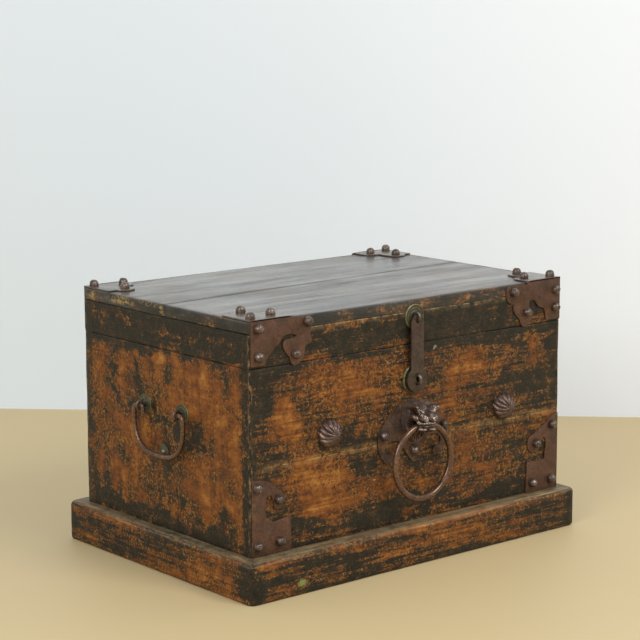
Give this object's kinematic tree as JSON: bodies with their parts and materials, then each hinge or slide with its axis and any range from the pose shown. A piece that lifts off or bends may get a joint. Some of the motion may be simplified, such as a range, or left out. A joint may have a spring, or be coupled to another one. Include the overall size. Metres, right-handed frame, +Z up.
{
  "type": "ship chest",
  "caption": "Low lacquered board chest on a plinth, with a lift-up lid, cloud-shaped iron corner plates, a hasp and staple, a beast-mask ring handle, swirled bosses and end bails.",
  "frame": {"origin": "middle of the footprint of the whole chest with its closed lid, on the floor", "axes": "+X to the right along the front, +Y from the front to the back, +Z up"},
  "size_m": [0.7826, 0.5686, 0.4879],
  "materials": {
    "lacquer": "worn brown and green-black lacquer over orange-brown wood",
    "lid_lacquer": "satin worn lacquer, grain along the length",
    "bare_wood": "dull unfinished softwood",
    "rusted_iron": "rust-brown patina, satin where handled",
    "cast_iron": "polished brown patina",
    "green_brass": "tarnished green-brown, bright at the rims"
  },
  "bodies": {
    "box": {"plinth_front": "lacquer", "plinth_back": "lacquer", "plinth_left": "lacquer", "plinth_right": "lacquer", "front_lower_board": "lacquer", "front_upper_board": "lacquer", "back_lower_board": "lacquer", "back_upper_board": "lacquer", "left_end_board": "lacquer", "right_end_board": "lacquer", "bottom_board": "bare_wood", "base_iron_left": "rusted_iron", "base_iron_right": "rusted_iron", "hasp_lower_rosette": "green_brass", "hasp_lower_staple": "rusted_iron", "handle_backplate": "rusted_iron", "handle_mask": "cast_iron", "boss_left": "cast_iron", "boss_right": "cast_iron", "left_rosette_a": "green_brass", "left_rosette_b": "green_brass", "right_rosette_a": "green_brass", "right_rosette_b": "green_brass", "left_eye_staple_a": "rusted_iron", "left_eye_staple_b": "rusted_iron", "right_eye_staple_a": "rusted_iron", "right_eye_staple_b": "rusted_iron", "left_striker_plate": "green_brass", "right_striker_plate": "green_brass", "left_striker_nail": "rusted_iron", "right_striker_nail": "rusted_iron", "hinge_eye_left": "rusted_iron", "hinge_eye_right": "rusted_iron"},
    "lid": {"lid_front_skirt": "lacquer", "lid_back_skirt": "lacquer", "lid_left_skirt": "lacquer", "lid_right_skirt": "lacquer", "lid_top_front_board": "lid_lacquer", "lid_top_back_board": "lid_lacquer", "lid_iron_front_left": "rusted_iron", "lid_iron_front_right": "rusted_iron", "lid_iron_back_left": "rusted_iron", "lid_iron_back_right": "rusted_iron", "hasp_upper_rosette": "green_brass", "hasp_upper_staple": "rusted_iron", "hinge_loop_left": "rusted_iron", "hinge_loop_right": "rusted_iron"},
    "hasp": {"hasp_strap": "rusted_iron"},
    "ring": {"handle_ring": "cast_iron"},
    "left_bail": {"left_bail": "cast_iron"},
    "right_bail": {"right_bail": "cast_iron"}
  },
  "joints": [
    {"name": "lid_hinge", "type": "hinge", "parent": "box", "child": "lid", "pos_m": [0, 0.25932, 0.3815], "axis": [-1, 0, 0], "range_deg": [0, 105]},
    {"name": "hasp_hinge", "type": "hinge", "parent": "lid", "child": "hasp", "pos_m": [-0.0015, -0.24438, 0.4425], "axis": [-1, 0, 0], "range_deg": [0, 150]},
    {"name": "ring_hinge", "type": "hinge", "parent": "box", "child": "ring", "pos_m": [-0.004, -0.26418, 0.253], "axis": [-1, 0, 0], "range_deg": [-8, 100]},
    {"name": "left_bail_hinge", "type": "hinge", "parent": "box", "child": "left_bail", "pos_m": [-0.38045, 0.00707, 0.288], "axis": [0, 1, 0], "range_deg": [0, 150]},
    {"name": "right_bail_hinge", "type": "hinge", "parent": "box", "child": "right_bail", "pos_m": [0.38045, 0.00707, 0.288], "axis": [0, -1, 0], "range_deg": [0, 150]}
  ]
}
